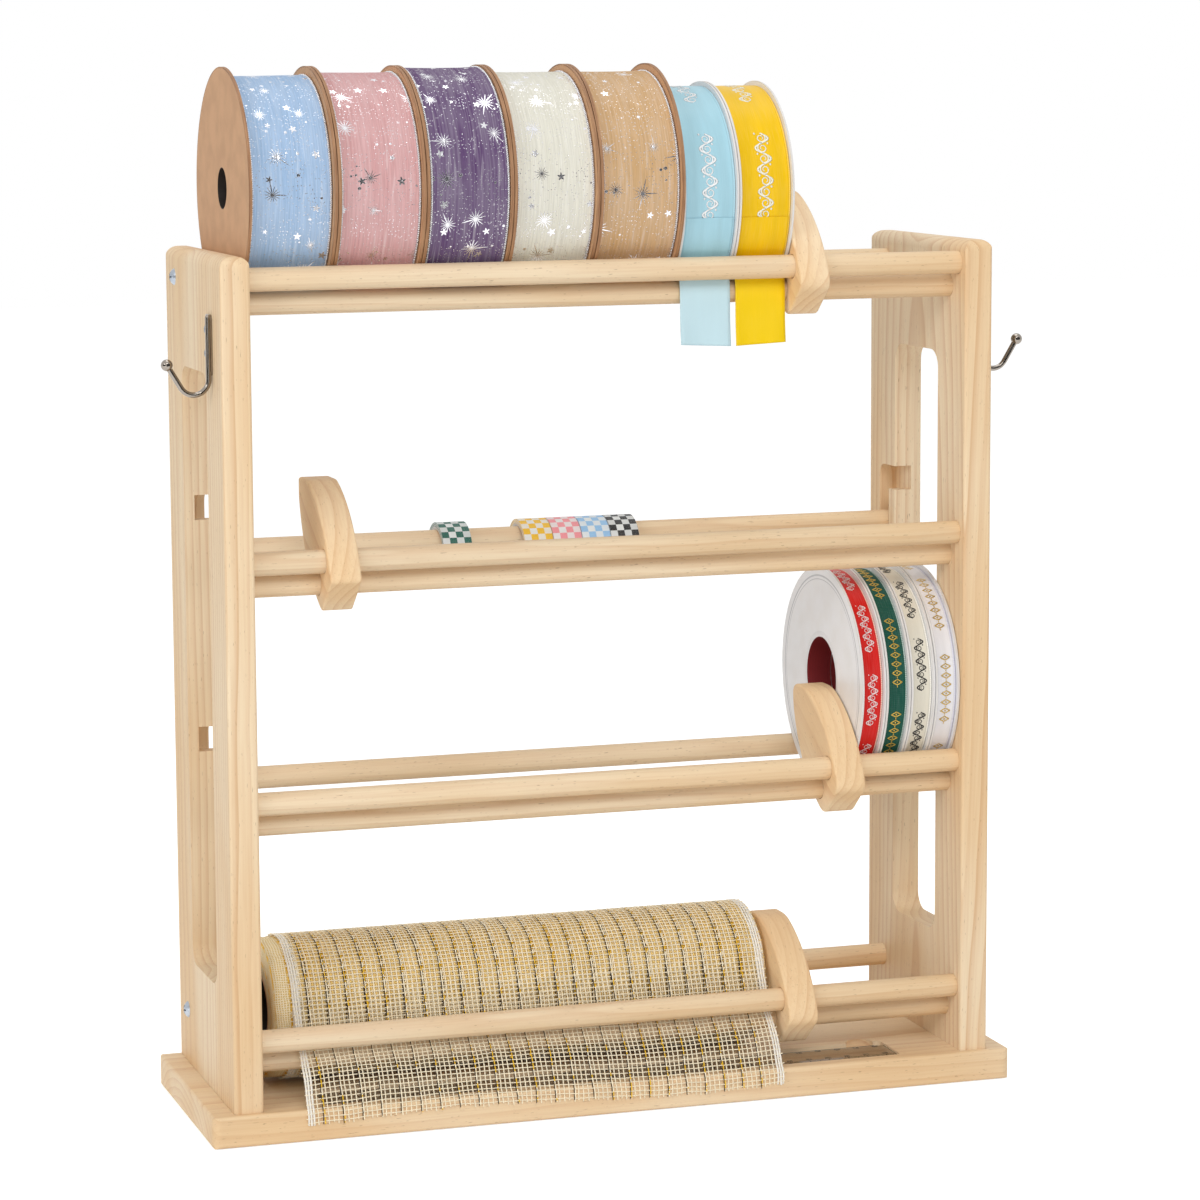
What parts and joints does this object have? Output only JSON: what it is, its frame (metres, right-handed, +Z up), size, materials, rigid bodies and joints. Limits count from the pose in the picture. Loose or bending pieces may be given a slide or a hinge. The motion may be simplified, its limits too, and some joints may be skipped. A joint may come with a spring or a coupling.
{
  "type": "ribbon spool dispenser",
  "caption": "Wooden countertop rack whose rod pairs carry ribbon reels, tape rolls and a mesh roll, with sliding dividers, lift-out rods, coat hooks and a base ruler.",
  "frame": {"origin": "middle of the base board's underside", "axes": "+X along the rack to the right as seen from the front, +Y towards the back, +Z up"},
  "size_m": [0.4258, 0.1284, 0.497],
  "materials": {
    "pine_board": "sanded pale pine, straight grain, clear matt",
    "pine_rod": "turned pale pine, matt",
    "pine_divider": "sanded pale pine, end grain at the foot",
    "clear_acrylic": "clear polished acrylic with dark scale marks",
    "nickel": "bright nickel plate",
    "zinc_screw": "zinc plated",
    "hanger_steel": "dull steel",
    "kraft_card": "brown kraft card",
    "white_card": "smooth white card",
    "wide_blue": "slubbed sheer ribbon with silver foil and wired silver edges",
    "wide_pink": "slubbed sheer ribbon with silver foil and wired silver edges",
    "wide_purple": "slubbed sheer ribbon with silver foil and wired silver edges",
    "wide_cream": "slubbed sheer ribbon with silver foil and wired silver edges",
    "wide_tan": "slubbed sheer ribbon with silver foil and wired silver edges",
    "satin_light_blue": "glossy satin",
    "satin_yellow": "glossy satin",
    "grosgrain_red": "ribbed ribbon with pale edges",
    "grosgrain_green": "ribbed ribbon with pale edges",
    "grosgrain_cream": "ribbed ribbon",
    "grosgrain_white": "ribbed ribbon",
    "tape_green": "paper tape with a check pattern",
    "tape_yellow": "paper tape with a check pattern",
    "tape_pink": "paper tape with a check pattern",
    "tape_blue": "paper tape with a check pattern",
    "tape_black": "paper tape with a check pattern",
    "gold_mesh": "open woven mesh ribbon, cream with gold and black threads"
  },
  "bodies": {
    "rack": {"base_board": "pine_board", "left_panel": "pine_board", "right_panel": "pine_board", "front_rod_1": "pine_rod", "front_rod_2": "pine_rod", "front_rod_3": "pine_rod", "front_rod_4": "pine_rod", "lower_rod_1": "pine_rod", "lower_rod_2": "pine_rod", "lower_rod_3": "pine_rod", "lower_rod_4": "pine_rod", "rear_rod_1": "pine_rod", "rear_rod_4": "pine_rod", "ruler": "clear_acrylic", "left_hook": "nickel", "right_hook": "nickel", "hook_screws": "zinc_screw", "left_hanger": "hanger_steel", "right_hanger": "hanger_steel", "hanger_screws": "zinc_screw", "rod_screws": "zinc_screw", "base_screws": "zinc_screw", "satin_tail_1": "satin_light_blue", "satin_tail_2": "satin_yellow", "mesh_tail": "gold_mesh"},
    "divider_1_body": {"divider_1": "pine_divider"},
    "divider_2_body": {"divider_2": "pine_divider"},
    "divider_3_body": {"divider_3": "pine_divider"},
    "divider_4_body": {"divider_4": "pine_divider"},
    "lift_rod_2": {"rear_rod_2": "pine_rod"},
    "lift_rod_3": {"rear_rod_3": "pine_rod"},
    "wide_spool_1": {"wide_reel_1": "kraft_card", "wide_ribbon_1": "wide_blue"},
    "wide_spool_2": {"wide_reel_2": "kraft_card", "wide_ribbon_2": "wide_pink"},
    "wide_spool_3": {"wide_reel_3": "kraft_card", "wide_ribbon_3": "wide_purple"},
    "wide_spool_4": {"wide_reel_4": "kraft_card", "wide_ribbon_4": "wide_cream"},
    "wide_spool_5": {"wide_reel_5": "kraft_card", "wide_ribbon_5": "wide_tan"},
    "satin_spool_1": {"satin_reel_1": "white_card", "satin_ribbon_1": "satin_light_blue"},
    "satin_spool_2": {"satin_reel_2": "white_card", "satin_ribbon_2": "satin_yellow"},
    "narrow_spool_1": {"narrow_reel_1": "white_card", "narrow_ribbon_1": "grosgrain_red"},
    "narrow_spool_2": {"narrow_reel_2": "white_card", "narrow_ribbon_2": "grosgrain_green"},
    "narrow_spool_3": {"narrow_reel_3": "white_card", "narrow_ribbon_3": "grosgrain_cream"},
    "narrow_spool_4": {"narrow_reel_4": "white_card", "narrow_ribbon_4": "grosgrain_white"},
    "tape_1": {"tape_roll_1": "tape_green"},
    "tape_2": {"tape_roll_2": "tape_yellow"},
    "tape_3": {"tape_roll_3": "tape_pink"},
    "tape_4": {"tape_roll_4": "tape_blue"},
    "tape_5": {"tape_roll_5": "tape_black"},
    "mesh_spool": {"mesh_core": "kraft_card", "mesh_roll": "gold_mesh"}
  },
  "joints": [
    {"name": "divider_1_slide", "type": "slide", "parent": "rack", "child": "divider_1_body", "axis": [1, 0, 0], "range_m": [0, 0.0698]},
    {"name": "divider_2_slide", "type": "slide", "parent": "rack", "child": "divider_2_body", "axis": [1, 0, 0], "range_m": [-0.034, 0.3]},
    {"name": "divider_3_slide", "type": "slide", "parent": "rack", "child": "divider_3_body", "axis": [1, 0, 0], "range_m": [-0.2831, 0]},
    {"name": "divider_4_slide", "type": "slide", "parent": "rack", "child": "divider_4_body", "axis": [1, 0, 0], "range_m": [0, 0.075]},
    {"name": "rod_2_lift", "type": "slide", "parent": "rack", "child": "lift_rod_2", "axis": [0, 0, 1], "range_m": [0, 0.023]},
    {"name": "rod_3_lift", "type": "slide", "parent": "rack", "child": "lift_rod_3", "axis": [0, 0, 1], "range_m": [0, 0.011]},
    {"name": "wide_spool_1_spin", "type": "hinge", "parent": "rack", "child": "wide_spool_1", "pos_m": [-0.15395, -0.00189, 0.441], "axis": [1, 0, 0], "continuous": true},
    {"name": "wide_spool_2_spin", "type": "hinge", "parent": "rack", "child": "wide_spool_2", "pos_m": [-0.1122, -0.00189, 0.441], "axis": [1, 0, 0], "continuous": true},
    {"name": "wide_spool_3_spin", "type": "hinge", "parent": "rack", "child": "wide_spool_3", "pos_m": [-0.07045, -0.00189, 0.441], "axis": [1, 0, 0], "continuous": true},
    {"name": "wide_spool_4_spin", "type": "hinge", "parent": "rack", "child": "wide_spool_4", "pos_m": [-0.0287, -0.00189, 0.441], "axis": [1, 0, 0], "continuous": true},
    {"name": "wide_spool_5_spin", "type": "hinge", "parent": "rack", "child": "wide_spool_5", "pos_m": [0.01305, -0.00189, 0.441], "axis": [1, 0, 0], "continuous": true},
    {"name": "satin_spool_1_spin", "type": "hinge", "parent": "rack", "child": "satin_spool_1", "pos_m": [0.0478, -0.00207, 0.43559], "axis": [1, 0, 0], "continuous": true},
    {"name": "satin_spool_2_spin", "type": "hinge", "parent": "rack", "child": "satin_spool_2", "pos_m": [0.07555, -0.00207, 0.43559], "axis": [1, 0, 0], "continuous": true},
    {"name": "narrow_spool_1_spin", "type": "hinge", "parent": "lift_rod_3", "child": "narrow_spool_1", "pos_m": [0.1302, -0.0012, 0.19525], "axis": [1, 0, 0], "continuous": true},
    {"name": "narrow_spool_2_spin", "type": "hinge", "parent": "lift_rod_3", "child": "narrow_spool_2", "pos_m": [0.14295, -0.0012, 0.19525], "axis": [1, 0, 0], "continuous": true},
    {"name": "narrow_spool_3_spin", "type": "hinge", "parent": "lift_rod_3", "child": "narrow_spool_3", "pos_m": [0.1557, -0.0012, 0.19525], "axis": [1, 0, 0], "continuous": true},
    {"name": "narrow_spool_4_spin", "type": "hinge", "parent": "lift_rod_3", "child": "narrow_spool_4", "pos_m": [0.16845, -0.0012, 0.19525], "axis": [1, 0, 0], "continuous": true},
    {"name": "tape_1_spin", "type": "hinge", "parent": "lift_rod_2", "child": "tape_1", "pos_m": [-0.05395, 0.0425, 0.2588], "axis": [1, 0, 0], "continuous": true},
    {"name": "tape_2_spin", "type": "hinge", "parent": "lift_rod_2", "child": "tape_2", "pos_m": [-0.01255, 0.0425, 0.2588], "axis": [1, 0, 0], "continuous": true},
    {"name": "tape_3_spin", "type": "hinge", "parent": "lift_rod_2", "child": "tape_3", "pos_m": [0.0023, 0.0425, 0.2588], "axis": [1, 0, 0], "continuous": true},
    {"name": "tape_4_spin", "type": "hinge", "parent": "lift_rod_2", "child": "tape_4", "pos_m": [0.01715, 0.0425, 0.2588], "axis": [1, 0, 0], "continuous": true},
    {"name": "tape_5_spin", "type": "hinge", "parent": "lift_rod_2", "child": "tape_5", "pos_m": [0.032, 0.0425, 0.2588], "axis": [1, 0, 0], "continuous": true},
    {"name": "mesh_spool_spin", "type": "hinge", "parent": "rack", "child": "mesh_spool", "pos_m": [-0.0395, -0.00046, 0.05019], "axis": [1, 0, 0], "continuous": true}
  ]
}
